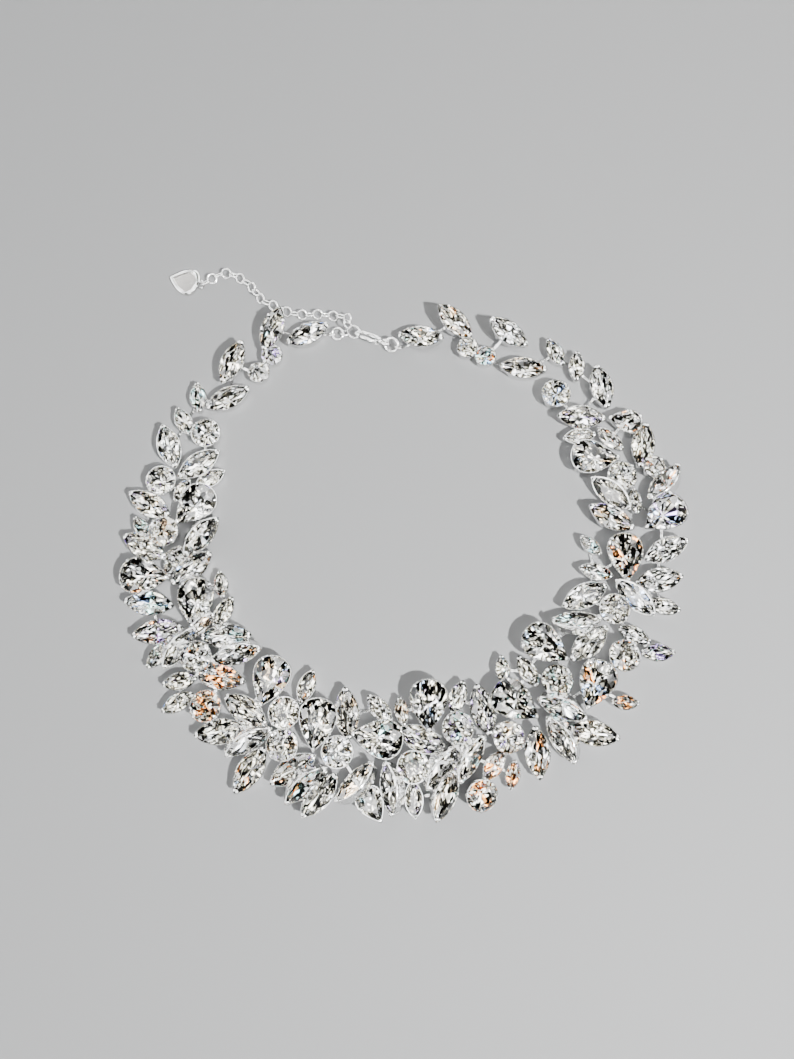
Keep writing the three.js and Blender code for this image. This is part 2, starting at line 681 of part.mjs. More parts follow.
function tagOutline(inset) {
  const points = [];
  for (let corner = 0; corner < tagSides; corner += 1) {
    const [along, side] = outlinePoint("pear", (corner / tagSides) * 2 * Math.PI);
    points.push(new THREE.Vector2(along * (tagLong / 2 - inset), side * (tagWide / 2 - inset)));
  }
  return points;
}

function endTagSolid() {
  const plate = plateSolid(tagOutline(0), [], tagThickness);
  const face = plateSolid(tagOutline(tagRim), [], tagThickness);
  const recess = moved(face, new THREE.Matrix4().makeTranslation(0, 0, tagThickness - tagRecess));
  const reach = ringReach(tagEar) + tagLong / 2 - earBite;
  const matrix = new THREE.Matrix4().makeTranslation(
    earMiddle.x + reach * Math.cos(tagWay),
    earMiddle.y + reach * Math.sin(tagWay),
    tagThickness / 2,
  );
  matrix.multiply(new THREE.Matrix4().makeRotationZ(tagWay));
  const ear = placedRing(tagEar, earMiddle, lastLink.way, -lastLink.roll);
  return joined([moved(plate.subtract(recess), matrix), ear]);
}

// The two halves of the work: settings, fused stones and wires, less the room of the separate stones.
function seatSolid(row, growth) {
  const solid = row.own ? cupSolid(row.cut, growth) : setStoneSolid(row.cut, growth);
  return moved(solid, row.matrix);
}

function spraySolid(sideRows, wires, loops) {
  const pieces = sideRows.map((row) => row.solid);
  for (const [from, to] of wires) {
    pieces.push(wireSolid(from, to, solderWire));
  }
  return joined([...pieces, ...loops]);
}

function loopPieces(loop, middle, way, seat) {
  const tail = new THREE.Vector3(
    middle.x + ringReach(loop) * Math.cos(way),
    middle.y + ringReach(loop) * Math.sin(way),
    middle.z,
  );
  return [placedRing(loop, middle, way, loop.roll), wireSolid(tail, seat, loop.wire)];
}

const stoneRooms = joined(
  rows.filter((row) => row.own).map((row) => moved(stoneSolid(row.cut, stoneGap), row.matrix)),
);
// The left half keeps clear of the right half's settings where the two lie side by side.
const seamRows = rightRows.filter((row) => leftRows.some((other) => settingsNear(row, other)));
const seamRoom = joined(seamRows.map((row) => seatSolid(row, stoneGap)));
const rightLoop = loopPieces(strandLoop, strandLoopMiddle, strandWay, strandSeat);
const leftLoop = loopPieces(endLoop, endLoopMiddle, endWay, endSeat);
const rightSpray = wholePiece(spraySolid(rightRows, rightWires, rightLoop).subtract(stoneRooms));
const leftWork = spraySolid(leftRows, leftWires, leftLoop).subtract(stoneRooms);
const leftSpray = wholePiece(leftWork.subtract(seamRoom));

// The necklace, one named mesh for each piece.
const necklace = new THREE.Group();

function addPiece(name, solid, finish) {
  const piece = new THREE.Mesh(geometryFrom(solid), new THREE.MeshStandardMaterial(finish));
  piece.name = name;
  necklace.add(piece);
}

addPiece("left_spray", leftSpray, silver);
addPiece("right_spray", rightSpray, silver);
const counts = {};
for (const row of rows.filter((entry) => entry.own)) {
  counts[row.cut] = (counts[row.cut] ?? 0) + 1;
  const word = row.cut.replace("small", "small_").toLowerCase();
  addPiece(`${word}_stone_${counts[row.cut]}`, moved(stoneSolid(row.cut, 0), row.matrix), crystal);
}
addPiece("jump_ring", placedRing(jumpRing, jumpMiddle, claspWay, jumpRing.roll), silver);
addPiece("clasp_body", claspBodySolid(), silver);
addPiece("clasp_lever", moved(leverPlate(0, claspThickness * leverDepth), claspMatrix), silver);
addPiece("end_ring", placedRing(endRing, endRingMiddle, endWay, endRing.roll), silver);
addPiece("extension_chain", extensionChainSolid(), silver);
addPiece("end_tag", endTagSolid(), silver);

// The origin is on the surface, under the middle of the whole outline.
const box = new THREE.Box3().setFromObject(necklace, true);
const middle = box.getCenter(new THREE.Vector3());
necklace.position.set(-middle.x, -middle.y, -box.min.z);

export default necklace;
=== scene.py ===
import math
import random

import bpy
from mathutils import Matrix, Vector


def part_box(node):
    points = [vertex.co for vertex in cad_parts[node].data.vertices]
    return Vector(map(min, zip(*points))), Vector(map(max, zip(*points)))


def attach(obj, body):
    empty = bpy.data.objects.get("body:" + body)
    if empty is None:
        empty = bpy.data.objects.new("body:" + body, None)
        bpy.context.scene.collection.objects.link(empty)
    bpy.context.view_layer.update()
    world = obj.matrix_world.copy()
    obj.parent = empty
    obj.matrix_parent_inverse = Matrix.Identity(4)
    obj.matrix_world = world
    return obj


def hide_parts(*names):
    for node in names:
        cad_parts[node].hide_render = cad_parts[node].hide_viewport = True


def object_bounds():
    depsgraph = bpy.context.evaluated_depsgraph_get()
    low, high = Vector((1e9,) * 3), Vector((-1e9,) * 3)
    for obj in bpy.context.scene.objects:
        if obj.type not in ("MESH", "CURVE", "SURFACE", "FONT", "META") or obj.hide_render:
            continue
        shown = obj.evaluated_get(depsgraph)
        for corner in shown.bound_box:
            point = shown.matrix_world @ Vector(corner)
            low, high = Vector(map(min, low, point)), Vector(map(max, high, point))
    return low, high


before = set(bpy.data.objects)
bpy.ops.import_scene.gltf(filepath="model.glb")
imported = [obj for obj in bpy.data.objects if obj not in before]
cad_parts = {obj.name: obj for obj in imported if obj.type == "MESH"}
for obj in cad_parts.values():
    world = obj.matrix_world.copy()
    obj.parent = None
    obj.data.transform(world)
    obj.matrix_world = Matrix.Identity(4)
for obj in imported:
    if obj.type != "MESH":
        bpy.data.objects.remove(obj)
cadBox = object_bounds()
mm = 0.001  # metres

# Band of stones, millimetres round the middle of the neck opening. foot: a setting's foot against its rim.
band = {"neckRadius": 52, "depth": 40, "storey": 3, "wall": 0.35, "foot": 0.84, "girdle": 0.3}

# long, wide, tall: over the setting. crown, pavilion: above and below it. facets: steps round the crystal.
cuts = {
    "pear": {"long": 15, "wide": 11, "tall": 3.9, "crown": 1.4, "pavilion": 3.3, "facets": 9},
    "smallPear": {"long": 10.8, "wide": 7.8, "tall": 3.2, "crown": 1.1, "pavilion": 2.5, "facets": 7},
    "navette": {"long": 15.2, "wide": 7.5, "tall": 3.5, "crown": 1.1, "pavilion": 2.7, "facets": 8},
    "midNavette": {"long": 10.6, "wide": 5.4, "tall": 2.9, "crown": 0.9, "pavilion": 2.1, "facets": 6},
    "smallNavette": {"long": 8.6, "wide": 4.5, "tall": 2.6, "crown": 0.8, "pavilion": 1.8, "facets": 6},
    "round": {"long": 9.2, "wide": 9.2, "tall": 3.8, "crown": 1.3, "pavilion": 3.0, "facets": 8},
    "smallRound": {"long": 7, "wide": 7, "tall": 3.1, "crown": 1.0, "pavilion": 2.4, "facets": 6},
}

# One row a stone: cut, degrees round the opening from the front, share of the band, heading of the long axis,
# share of a storey it is raised, lean, roll, and whether it is a loose crystal in the solid model.
chart = {
    "bottom": [
        ("navette", -12.6, 0.27, 95, 0, 0, 0, False),
        ("midNavette", -4.2, 0.205, 132, 0, 0, 0, False),
        ("smallNavette", 1.7, 0.22, 100, 0, 0, 0, False),
        ("pear", 9.0, 0.197, -90, 0.5, 0, 0, True),
        ("midNavette", 17.3, 0.19, 70, 0, 0, 0, False),
        ("navette", 6.2, 0.42, -23, 0, 0, 0, False),
        ("pear", -4.3, 0.405, 170, 0.2, 0, 0, True),
        ("round", 3.75, 0.6, 0, 0.3, 0, 0, True),
        ("navette", 9.9, 0.63, 53, 0, 0, 50, False),
        ("round", 15.1, 0.39, 0, 0.2, 0, 0, True),
        ("navette", -1.3, 0.74, 97, 0, 0, -50, False),
        ("smallPear", -4.3, 0.85, -60, 0.2, 0, 0, True),
        ("midNavette", 3.5, 0.815, 95, 0, 0, 0, False),
        ("navette", 9.5, 0.815, 68, 0, 0, 30, False),
        ("navette", -8.1, 0.71, 45, 0, 0, -50, False),
    ],
    "lowerRight": [
        ("navette", 22.4, 0.33, 104, 0, 0, 0, False),
        ("pear", 30.3, 0.386, -35, 0.5, 0, 0, True),
        ("round", 25.1, 0.57, 0, 0.2, 0, 0, True),
        ("navette", 28.9, 0.755, 93, 0, 0, 0, False),
        ("navette", 34, 0.77, -60, 0, 0, 50, False),
        ("smallNavette", 22.8, 0.815, 79, 0, 0, 0, False),
        ("midNavette", 20.1, 0.71, 55, 0, 0, 0, False),
        ("round", 16, 0.868, -50, 0.1, -20, 0, True),
        ("navette", 16.1, 0.62, 60, 0, 0, 45, False),
        ("smallNavette", 32.2, 0.147, 95, 0, 0, 0, False),
        ("midNavette", 37.5, 0.26, 121, 0, 0, 0, False),
        ("round", 41.5, 0.44, 0, 0.2, 0, 0, True),
        ("navette", 38, 0.61, -23, 0, 0, 45, False),
    ],
    "right": [
        ("pear", 45.6, 0.211, -35, 0.4, 0, 0, True),
        ("navette", 56.4, 0.27, 3, 0, 0, -45, False),
        ("navette", 53.2, 0.44, 41, 0.3, 0, 0, False),
        ("round", 55.4, 0.69, 0, 0.5, 0, 0, True),
        ("midNavette", 59.7, 0.89, 0, 0, 0, 0, False),
        ("midNavette", 60.5, 0.69, -26, 0, 0, 0, False),
        ("pear", 46.8, 0.65, 246, 0.3, 0, 0, True),
        ("smallNavette", 48.3, 0.89, -3, 0, 0, 0, False),
        ("navette", 39.9, 0.875, -11, 0, 0, 0, False),
    ],
    "upperRight": [
        ("navette", 86.2, 0.315, -29, 0.4, 0, 0, False),
        ("pear", 87.5, 0.705, 215, 0.4, 0, 0, True),
        ("smallNavette", 77.9, 0.19, -44, 0, 0, 0, False),
        ("pear", 76.3, 0.445, 270, 0.4, 0, 0, True),
        ("navette", 80, 0.735, 24, 0, 0, 20, False),
        ("navette", 73.4, 0.72, 10, 0, 0, 0, False),
        ("midNavette", 68.6, 0.805, -15, 0, 0, 0, False),
        ("navette", 67.8, 0.585, -45, 0, 0, 45, False),
        ("round", 63.5, 0.48, 0, 0.2, 0, 0, True),
        ("navette", 63.4, 0.25, 25, 0, 0, 0, False),
        ("midNavette", 70.9, 0.27, -15, 0, 0, 0, False),
        ("pear", 103.6, 0.26, -3, 0.3, 0, 0, True),
        ("round", 97.3, 0.43, 0, 0.2, 0, 0, True),
        ("navette", 92.8, 0.32, -42, 0, 0, 45, False),
        ("navette", 94.9, 0.73, 48, 0, 0, -45, False),
        ("smallRound", 98.5, 0.69, 0, 0.3, 0, 0, False),
        ("navette", 103.9, 0.655, 79, 0, 0, 0, False),
        ("smallNavette", 91, 0.51, 95, 0, 0, 0, False),
        ("midNavette", 134.7, 0.48, 115, 0, 0, 0, False),
        ("midNavette", 128.4, 0.52, 85, 0, 0, 0, False),
        ("navette", 120.5, 0.565, 100, 0.2, 0, 0, False),
        ("round", 125.5, 0.235, 0, 0.1, 0, 0, True),
        ("navette", 115.7, 0.29, -4, 0, 0, 20, False),
        ("midNavette", 111.1, 0.22, 8, 0, 0, 0, False),
        ("midNavette", 107.6, 0.435, -45, 0, 0, 0, False),
        ("smallPear", 110.6, 0.595, 170, 0.2, 0, 0, True),
    ],
    "topRight": [
        ("navette", 171.8, 0.085, -8, 0, 8, 0, True),
        ("navette", 162.4, 0.255, -43, 0.4, -12, 0, True),
        ("smallRound", 156.1, 0.11, 0, 0, 0, 0, False),
        ("smallRound", 149.7, 0.11, 0, 0, 0, 0, False),
        ("navette", 147.4, 0.355, -36, 0.4, -8, 0, True),
        ("navette", 137.9, 0.2, -5, 0, 0, 0, True),
    ],
    "topLeft": [
        ("navette", -153.6, 0.27, 26, 0, 0, 0, True),
        ("navette", -145.5, 0.417, 68, 0.3, 15, 0, True),
        ("smallRound", -141.4, 0.265, 0, 0, 0, 0, False),
        ("smallRound", -135.1, 0.22, 0, 0, 0, 0, False),
        ("navette", -131.8, 0.41, 66, 0.4, 8, 0, True),
        ("navette", -123.4, 0.26, 27, 0, 0, 0, True),
        ("midNavette", -119.4, 0.465, 98, 0, 0, 0, False),
        ("midNavette", -112.2, 0.47, 119, 0, 0, 0, False),
        ("round", -111.2, 0.26, 0, 0.1, 0, 0, True),
    ],
    "upperLeft": [
        ("navette", -104.7, 0.487, 110, 0.2, 0, 0, False),
        ("navette", -102, 0.23, 35, 0, 0, 0, False),
        ("round", -95.9, 0.48, 0, 0.2, 0, 0, True),
        ("smallNavette", -94.1, 0.32, 60, 0, 0, 0, False),
        ("midNavette", -98.2, 0.125, 30, 0, 0, 0, False),
        ("navette", -90, 0.55, -31, 0, 0, 0, False),
        ("pear", -89.3, 0.207, 228, 0.3, 0, 0, True),
        ("smallNavette", -84.7, 0.61, -55, 0, 0, 0, False),
        ("round", -82.9, 0.44, 0, 0.2, 0, 0, True),
        ("navette", -80.1, 0.59, -28, 0, 0, 0, False),
        ("navette", -80, 0.16, 50, 0, 0, 45, False),
        ("midNavette", -76.6, 0.345, 12, 0, 0, 0, False),
        ("navette", -72, 0.28, 40, 0, 0, 0, False),
        ("smallNavette", -74.8, 0.42, 80, 0, 0, 0, False),
        ("pear", -73.3, 0.62, -5, 0.3, 0, 0, True),
    ],
    "left": [
        ("navette", -67.4, 0.65, -6, 0, 0, 0, False),
        ("smallNavette", -64.7, 0.12, 100, 0, 0, 0, False),
        ("pear", -62.7, 0.335, 268, 0.4, 0, 0, True),
        ("midNavette", -57.1, 0.195, 60, 0, 0, 0, False),
        ("navette", -61, 0.67, 10, 0, 0, 0, False),
        ("midNavette", -57.1, 0.377, 42, 0, 0, 55, False),
        ("navette", -51, 0.27, 2, 0.2, 0, 0, False),
        ("midNavette", -56.7, 0.735, 50, 0, 0, 0, False),
        ("navette", -55.1, 0.58, 53, 0, 0, 50, False),
        ("round", -51.6, 0.525, 0, 0.2, 0, 0, True),
        ("navette", -45.3, 0.3, 15, 0, 0, 45, False),
        ("navette", -44.3, 0.49, -10, 0, 0, 0, False),
        ("midNavette", -49.7, 0.72, 12, 0, 0, 0, False),
        ("midNavette", -46.7, 0.825, 31, 0, 0, 0, False),
        ("round", -42.1, 0.7, 0, 0.2, 0, 0, True),
    ],
    "lowerLeft": [
        ("pear", -34.2, 0.285, 252, 0.5, 0, 0, True),
        ("navette", -35, 0.545, -34, 0, 0, 0, False),
        ("round", -27.1, 0.417, 0, 0.3, 0, 0, True),
        ("midNavette", -25.2, 0.187, 70, 0, 0, 0, False),
        ("pear", -18.8, 0.4, 263, 0.5, 0, 0, True),
        ("round", -12.7, 0.54, 0, 0.2, 0, 0, True),
        ("round", -24.3, 0.618, 0, 0.2, 0, 0, True),
        ("navette", -30.6, 0.71, 30, 0, 0, 50, False),
        ("navette", -36.6, 0.765, 8, 0, 0, 0, False),
        ("navette", -27.8, 0.867, 57, 0, 0, 0, False),
        ("navette", -20.4, 0.742, 32, 0, 0, 0, False),
        ("navette", -16.9, 0.811, 40, 0, 0, 45, False),
        ("navette", -14.1, 0.848, 51, 0, 0, 15, False),
    ],
}


def bandPlace(at, across):
    radius = band["neckRadius"] + band["depth"] * across
    turn = math.radians(at)
    return Vector((radius * math.sin(turn), -radius * math.cos(turn), 0))


outlines = {"navettePoint": 0.8, "pearBelly": 1.3}


def outlineAt(cut, turn):  # -1 to 1 along and across, a pear's point at +1
    along, side = math.cos(turn), math.sin(turn)
    if cut.endswith("avette"):
        return along, side * abs(side) ** outlines["navettePoint"]
    if cut.endswith("ear"):
        return along, side * abs(math.sin(turn / 2)) * outlines["pearBelly"]
    return along, side


def rimPoint(cut, turn, share, height, inset=0.0):
    size = cuts[cut]
    along, side = outlineAt(cut, turn)
    halfLong, halfWide = size["long"] / 2 * share - inset, size["wide"] / 2 * share - inset
    return Vector((along * halfLong, side * halfWide, height))


def seatOf(row):  # the setting's turn and place, its lowest point at its rise
    cut, at, across, heading, rise, lean, roll, loose = row
    turn = Matrix.Rotation(math.radians(heading), 4, "Z")
    turn = turn @ Matrix.Rotation(-math.radians(lean), 4, "Y") @ Matrix.Rotation(math.radians(roll), 4, "X")
    turn = turn @ Matrix.Translation((0, 0, -cuts[cut]["tall"]))
    turns = [2 * math.pi * step / setting["steps"] for step in range(setting["steps"])]
    corners = [rimPoint(cut, t, band["foot"], 0) for t in turns]
    corners += [rimPoint(cut, t, 1, cuts[cut]["tall"]) for t in turns]
    lift = rise * band["storey"] - min((turn @ corner).z for corner in corners)
    place = bandPlace(at, across)
    return Matrix.Translation((place.x, place.y, lift)) @ turn


# The middle of the neck opening in the model's own frame, from the first round crystal's place.
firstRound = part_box("round_stone_1")
firstRow = next(row for row in chart["bottom"] if row[0] == "round")
neckCentre = Vector([(firstRound[0][axis] + firstRound[1][axis]) / 2 for axis in (0, 1)] + [0.0])
neckCentre -= bandPlace(firstRow[1], firstRow[2]) * mm


def fromBand(point):  # millimetres from the neck's middle to the model's frame in metres
    return Vector(point) * mm + neckCentre


class Shape:
    def __init__(self):
        self.points, self.faces, self.finish, self.tints = [], [], [], []

    def add(self, points, faces, finish=0, matrix=None, tints=None):
        start = len(self.points)
        self.points += [matrix @ Vector(p) if matrix else Vector(p) for p in points]
        self.faces += [tuple(start + corner for corner in face) for face in faces]
        self.finish += finish if isinstance(finish, list) else [finish] * len(faces)
        self.tints += tints if tints else [(1, 1, 1)] * len(faces)


def makePiece(name, shape, materials, body, nodes, creaseDegrees=None):
    mesh = bpy.data.meshes.new(name)
    mesh.from_pydata([fromBand(p) for p in shape.points], [], shape.faces)
    mesh.polygons.foreach_set("material_index", shape.finish)
    for material in materials:
        mesh.materials.append(material)
    fire = mesh.color_attributes.new("fire", "FLOAT_COLOR", "CORNER")
    for polygon, tint in zip(mesh.polygons, shape.tints):
        for corner in polygon.loop_indices:
            fire.data[corner].color = (*tint, 1)
    if creaseDegrees is not None:
        mesh.polygons.foreach_set("use_smooth", [True] * len(mesh.polygons))
        mesh.set_sharp_from_angle(angle=math.radians(creaseDegrees))
    mesh.validate()
    mesh.update()
    piece = bpy.data.objects.new(name, mesh)
    bpy.context.scene.collection.objects.link(piece)
    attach(piece, body)
    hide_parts(*nodes)
    return piece


# Materials
def newMaterial(name):
    material = bpy.data.materials.new(name)
    material.use_nodes = True
    nodes = material.node_tree.nodes
    return material, nodes, material.node_tree.links, nodes["Principled BSDF"]


def addNode(nodes, kind, **inputs):
    node = nodes.new(kind)
    for key, value in inputs.items():
        node.inputs[key].default_value = value
    return node


crystalLook = {"clear": (0.985, 0.99, 1.0), "bend": 1.56, "foilGrain": 900.0, "foilRough": 0.03}
plateLook = {"from": 0.3, "to": 0.7, "toneTo": 0.65, "dull": 0.82, "fineGrain": 6, "scratchDeep": 0.00004}
satinLook = {
    "strokes": (250, 6000, 250), "dark": (0.4, 0.385, 0.37), "light": (0.7, 0.68, 0.65), "rough": 0.22,
    "scratch": 0.15, "scratchDeep": 0.00003,
}


def crystalGlass():
    material, _, _, shader = newMaterial("crystalGlass")
    shader.inputs["Base Color"].default_value = (*crystalLook["clear"], 1)
    shader.inputs["Transmission Weight"].default_value = 1.0
    shader.inputs["Roughness"].default_value = 0.0
    shader.inputs["IOR"].default_value = crystalLook["bend"]
    return material


def crystalFoil():  # the silvered back of a crystal, its colour by facet
    material, nodes, links, shader = newMaterial("crystalFoil")
    fire = nodes.new("ShaderNodeAttribute")
    fire.attribute_name = "fire"
    cloud = addNode(nodes, "ShaderNodeTexNoise", Scale=crystalLook["foilGrain"], Detail=2.0)
    cloudMap = nodes.new("ShaderNodeMapRange")
    cloudMap.inputs["To Min"].default_value = 0.0
    cloudMap.inputs["To Max"].default_value = crystalLook["foilRough"]
    links.new(cloud.outputs["Fac"], cloudMap.inputs["Value"])
    links.new(cloudMap.outputs["Result"], shader.inputs["Roughness"])
    links.new(fire.outputs["Color"], shader.inputs["Base Color"])
    shader.inputs["Metallic"].default_value = 1.0
    return material


def silverPlate(name, color, rough, grain, scratch):
    material, nodes, links, shader = newMaterial(name)
    shader.inputs["Metallic"].default_value = 1.0
    place = nodes.new("ShaderNodeTexCoord")
    cloud = addNode(nodes, "ShaderNodeTexNoise", Scale=grain, Detail=4.0)
    links.new(place.outputs["Object"], cloud.inputs["Vector"])
    roughMap = nodes.new("ShaderNodeMapRange")
    roughMap.inputs["From Min"].default_value = plateLook["from"]
    roughMap.inputs["From Max"].default_value = plateLook["to"]
    roughMap.inputs["To Min"].default_value = rough[0]
    roughMap.inputs["To Max"].default_value = rough[1]
    links.new(cloud.outputs["Fac"], roughMap.inputs["Value"])
    links.new(roughMap.outputs["Result"], shader.inputs["Roughness"])
    tone = nodes.new("ShaderNodeValToRGB")
    tone.color_ramp.elements[0].position = plateLook["from"]
    tone.color_ramp.elements[0].color = (*[c * plateLook["dull"] for c in color], 1)
    tone.color_ramp.elements[1].position = plateLook["toneTo"]
    tone.color_ramp.elements[1].color = (*color, 1)
    links.new(cloud.outputs["Fac"], tone.inputs["Fac"])
    links.new(tone.outputs["Color"], shader.inputs["Base Color"])
    fine = addNode(nodes, "ShaderNodeTexNoise", Scale=grain * plateLook["fineGrain"], Detail=2.0)
    links.new(place.outputs["Object"], fine.inputs["Vector"])
    bump = addNode(nodes, "ShaderNodeBump", Strength=scratch, Distance=plateLook["scratchDeep"])
    links.new(fine.outputs["Fac"], bump.inputs["Height"])
    links.new(bump.outputs["Normal"], shader.inputs["Normal"])
    return material


def satinFace():  # the tag's flat face, brushed one way
    material, nodes, links, shader = newMaterial("tagSatinFace")
    shader.inputs["Metallic"].default_value = 1.0
    place = nodes.new("ShaderNodeTexCoord")
    turn = nodes.new("ShaderNodeMapping")
    turn.inputs["Rotation"].default_value = (0, 0, math.radians(tag["heading"]))
    turn.inputs["Scale"].default_value = satinLook["strokes"]
    links.new(place.outputs["Object"], turn.inputs["Vector"])
    strokes = addNode(nodes, "ShaderNodeTexNoise", Scale=1.0, Detail=3.0)
    links.new(turn.outputs["Vector"], strokes.inputs["Vector"])
    tone = nodes.new("ShaderNodeValToRGB")
    tone.color_ramp.elements[0].color = (*satinLook["dark"], 1)
    tone.color_ramp.elements[1].color = (*satinLook["light"], 1)
    links.new(strokes.outputs["Fac"], tone.inputs["Fac"])
    links.new(tone.outputs["Color"], shader.inputs["Base Color"])
    shader.inputs["Roughness"].default_value = satinLook["rough"]
    bump = addNode(nodes, "ShaderNodeBump", Strength=satinLook["scratch"], Distance=satinLook["scratchDeep"])
    links.new(strokes.outputs["Fac"], bump.inputs["Height"])
    links.new(bump.outputs["Normal"], shader.inputs["Normal"])
    return material


tag = {
    "long": 10, "wide": 9.4, "thick": 1.3, "rim": 1.3, "recess": 0.5, "heading": 164, "bite": 0.4, "steps": 56,
}

glass = crystalGlass()
foil = crystalFoil()
settingSilver = silverPlate("settingSilver", (0.83, 0.83, 0.82), (0.08, 0.2), 420, 0.05)
wireSilver = silverPlate("wireSilver", (0.86, 0.86, 0.85), (0.08, 0.18), 500, 0.02)
claspSilver = silverPlate("claspSilver", (0.85, 0.85, 0.84), (0.1, 0.2), 300, 0.02)
tagSatin = satinFace()
print("materials ready")

# Crystals: table, stars, kites and girdle facets over a silvered pavilion.
crystal = {
    "table": 0.52, "starShare": 0.79, "starHeight": 0.6, "breakShare": 0.6, "breakDepth": 0.5,
    "clearance": 0.3, "uneven": 0.1, "starUneven": 0.04, "heightUneven": 0.8, "culetDrift": 0.2, "seed": 7,
}
# Colours of the back facets: clear, warm, grey, and a few flashes of orange, peach, blue, violet and green.
fireTints = [(1, 1, 1)] * 24 + [(0.97, 0.94, 0.85)] * 28 + [(0.6, 0.58, 0.52)] * 8
fireTints += [(1.0, 0.42, 0.12), (1.0, 0.76, 0.52), (0.5, 0.66, 1.0), (0.66, 0.52, 1.0), (0.62, 0.92, 0.95)]


def crystalParts(cut, dice):
    size = cuts[cut]
    count = size["facets"]
    share = (size["wide"] - 2 * crystal["clearance"]) / size["wide"]
    top, low = size["tall"], size["tall"] - band["girdle"]
    points, faces, finish = [], [], []

    def ring(shareNow, height, half, uneven=0.0):
        start = len(points)
        for step in range(count):
            turn = 2 * math.pi * (step + (0.5 if half else 0) + dice.uniform(-1, 1) * uneven) / count
            shareHere = share * shareNow * (1 + dice.uniform(-1, 1) * uneven)
            heightHere = height + dice.uniform(-1, 1) * uneven * crystal["heightUneven"]
            points.append(rimPoint(cut, turn, shareHere, heightHere))
        return [start + step for step in range(count)]

    starHeight = top + size["crown"] * crystal["starHeight"]
    breakHeight = low - size["pavilion"] * crystal["breakDepth"]
    drift = crystal["culetDrift"]
    table = ring(crystal["table"], top + size["crown"], False)
    star = ring(crystal["starShare"], starHeight, True, crystal["starUneven"])
    rimMain, rimHalf = ring(1, top, False), ring(1, top, True)
    lowMain, lowHalf = ring(1, low, False), ring(1, low, True)
    breaks = ring(crystal["breakShare"], breakHeight, True, crystal["uneven"])
    points.append(Vector((dice.uniform(-drift, drift), dice.uniform(-drift, drift), low - size["pavilion"])))
    culet = len(points) - 1
    faces.append(tuple(table))
    finish.append(0)
    for step in range(count):
        after, before = (step + 1) % count, (step - 1) % count
        crown = [
            (table[step], star[step], table[after]),
            (table[step], star[before], rimMain[step]), (table[step], rimMain[step], star[step]),
            (star[step], rimMain[step], rimHalf[step]), (star[step], rimHalf[step], rimMain[after]),
        ]
        back = [
            (rimMain[step], lowMain[step], lowHalf[step], rimHalf[step]),
            (rimHalf[step], lowHalf[step], lowMain[after], rimMain[after]),
            (lowMain[step], breaks[step], lowHalf[step]), (lowHalf[step], breaks[step], lowMain[after]),
            (lowMain[step], breaks[before], culet, breaks[step]),
        ]
        faces.extend(crown + back)
        finish.extend([0] * len(crown) + [1] * len(back))
    tints = [dice.choice(fireTints) if kind else (1, 1, 1) for kind in finish]
    return points, faces, finish, tints


# Settings: an open cup with a rolled lip, a closed foot and claws bent over the crystal.
setting = {
    "lip": 0.12, "bevel": 0.25, "steps": 28, "clawWide": 0.95, "clawThick": 0.36, "clawReach": 0.8,
    "fullClaw": 7.5, "clawSides": 8, "clawShift": 5,  # fullClaw: narrower stones have smaller claws
}
clawTurns = {  # degrees round each cut's rim, from its point
    "pear": (18, 75, 140, 220, 285, 342), "smallPear": (18, 90, 150, 210, 270, 342),
    "navette": (25, 155, 205, 335), "midNavette": (28, 152, 208, 332), "smallNavette": (28, 152, 208, 332),
    "round": (45, 135, 225, 315), "smallRound": (45, 135, 225, 315),
}


def loftFaces(rings, ends=True):
    faces = []
    count = len(rings[0])
    for lower, upper in zip(rings, rings[1:]):
        for step in range(count):
            after = (step + 1) % count
            faces.append((lower[step], lower[after], upper[after], upper[step]))
    if ends:
        faces += [tuple(reversed(rings[0])), tuple(rings[-1])]
    return faces


def loftShape(profile):  # rings of points of the same count, from the foot up
    points, rings = [], []
    for ring in profile:
        rings.append(list(range(len(points), len(points) + len(ring))))
        points += ring
    return points, loftFaces(rings)


def cupParts(cut):
    size = cuts[cut]
    steps = setting["steps"]
    turns = [2 * math.pi * step / steps for step in range(steps)]
    tall, foot, wall = size["tall"], band["foot"], band["wall"]
    # levels: share of the outline, height, inset
    levels = [
        (foot, 0, setting["bevel"]), (foot, 0.16, 0), ((foot + 1) / 2, tall * 0.5, 0), (1, tall - 0.25, 0),
        (1, tall + 0.02, 0.03), (1, tall + setting["lip"], 0.12), (1, tall + setting["lip"], 0.24),
        (1, tall - 0.05, wall), (foot, 0.14, wall),
    ]
    rings = [[rimPoint(cut, turn, share, height, inset) for turn in turns] for share, height, inset in levels]
    return loftShape(rings)


